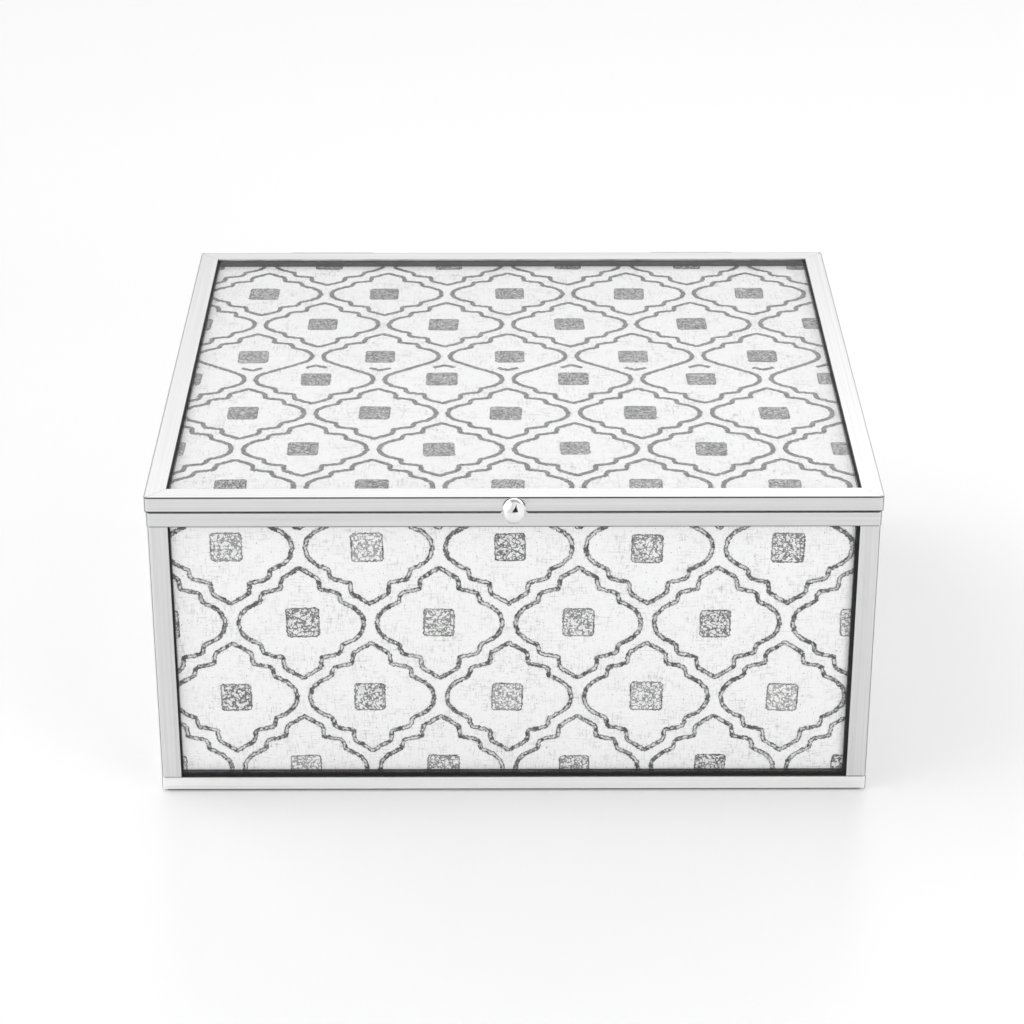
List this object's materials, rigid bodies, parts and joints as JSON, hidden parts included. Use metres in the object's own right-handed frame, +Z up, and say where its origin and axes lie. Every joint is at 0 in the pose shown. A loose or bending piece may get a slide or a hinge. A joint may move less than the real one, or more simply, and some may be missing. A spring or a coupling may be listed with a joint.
{
  "type": "jewelry box",
  "caption": "Rectangular jewelry box with a hinged lid: glazed panels of white paper printed with a grey trellis, in a silver metal strip frame, with a ball knob.",
  "frame": {"origin": "middle of the felt base, on the surface that the box stands on", "axes": "+X along the front to the viewer's right, +Y from the front to the hinged back, +Z up"},
  "size_m": [0.19, 0.1831, 0.0894],
  "materials": {
    "frame_steel": "brushed, silver",
    "knob_chrome": "polished",
    "clear_glass": "clear, polished",
    "printed_paper": "white linen look with a grey trellis print",
    "black_spacer": "matt black",
    "fibre_board": "fine pressed fibre",
    "black_velvet": "short velvet pile",
    "black_felt": "pressed felt",
    "hinge_steel": "bright, lightly brushed"
  },
  "bodies": {
    "box": {"base_felt": "black_felt", "base_rail_back": "frame_steel", "base_rail_front": "frame_steel", "base_rail_left": "frame_steel", "base_rail_right": "frame_steel", "corner_post_back_left": "frame_steel", "corner_post_back_right": "frame_steel", "corner_post_front_left": "frame_steel", "corner_post_front_right": "frame_steel", "edge_spacer_back": "black_spacer", "edge_spacer_front": "black_spacer", "edge_spacer_left": "black_spacer", "edge_spacer_right": "black_spacer", "floor_board": "fibre_board", "floor_pad": "black_velvet", "glass_back": "clear_glass", "glass_front": "clear_glass", "glass_left": "clear_glass", "glass_right": "clear_glass", "hinge_leaf_box_left": "hinge_steel", "hinge_leaf_box_right": "hinge_steel", "hinge_nails_box": "hinge_steel", "hinge_pin_left": "hinge_steel", "hinge_pin_right": "hinge_steel", "printed_sheet_back": "printed_paper", "printed_sheet_front": "printed_paper", "printed_sheet_left": "printed_paper", "printed_sheet_right": "printed_paper", "rim_rail_back": "frame_steel", "rim_rail_front": "frame_steel", "rim_rail_left": "frame_steel", "rim_rail_right": "frame_steel", "wall_board_back": "fibre_board", "wall_board_front": "fibre_board", "wall_board_left": "fibre_board", "wall_board_right": "fibre_board", "wall_lining_back": "black_velvet", "wall_lining_front": "black_velvet", "wall_lining_left": "black_velvet", "wall_lining_right": "black_velvet"},
    "lid": {"hinge_leaf_lid_left": "hinge_steel", "hinge_leaf_lid_right": "hinge_steel", "hinge_nails_lid": "hinge_steel", "knob_ball": "knob_chrome", "knob_stud": "knob_chrome", "lid_board": "fibre_board", "lid_edge_spacer": "black_spacer", "lid_glass": "clear_glass", "lid_lining": "black_velvet", "lid_printed_sheet": "printed_paper", "lid_rail_back": "frame_steel", "lid_rail_front": "frame_steel", "lid_rail_left": "frame_steel", "lid_rail_right": "frame_steel"}
  },
  "joints": [
    {"name": "lid_hinge", "type": "hinge", "parent": "box", "child": "lid", "pos_m": [0, 0.0872, 0.0838], "axis": [-1, 0, 0], "range_deg": [0, 100]}
  ]
}
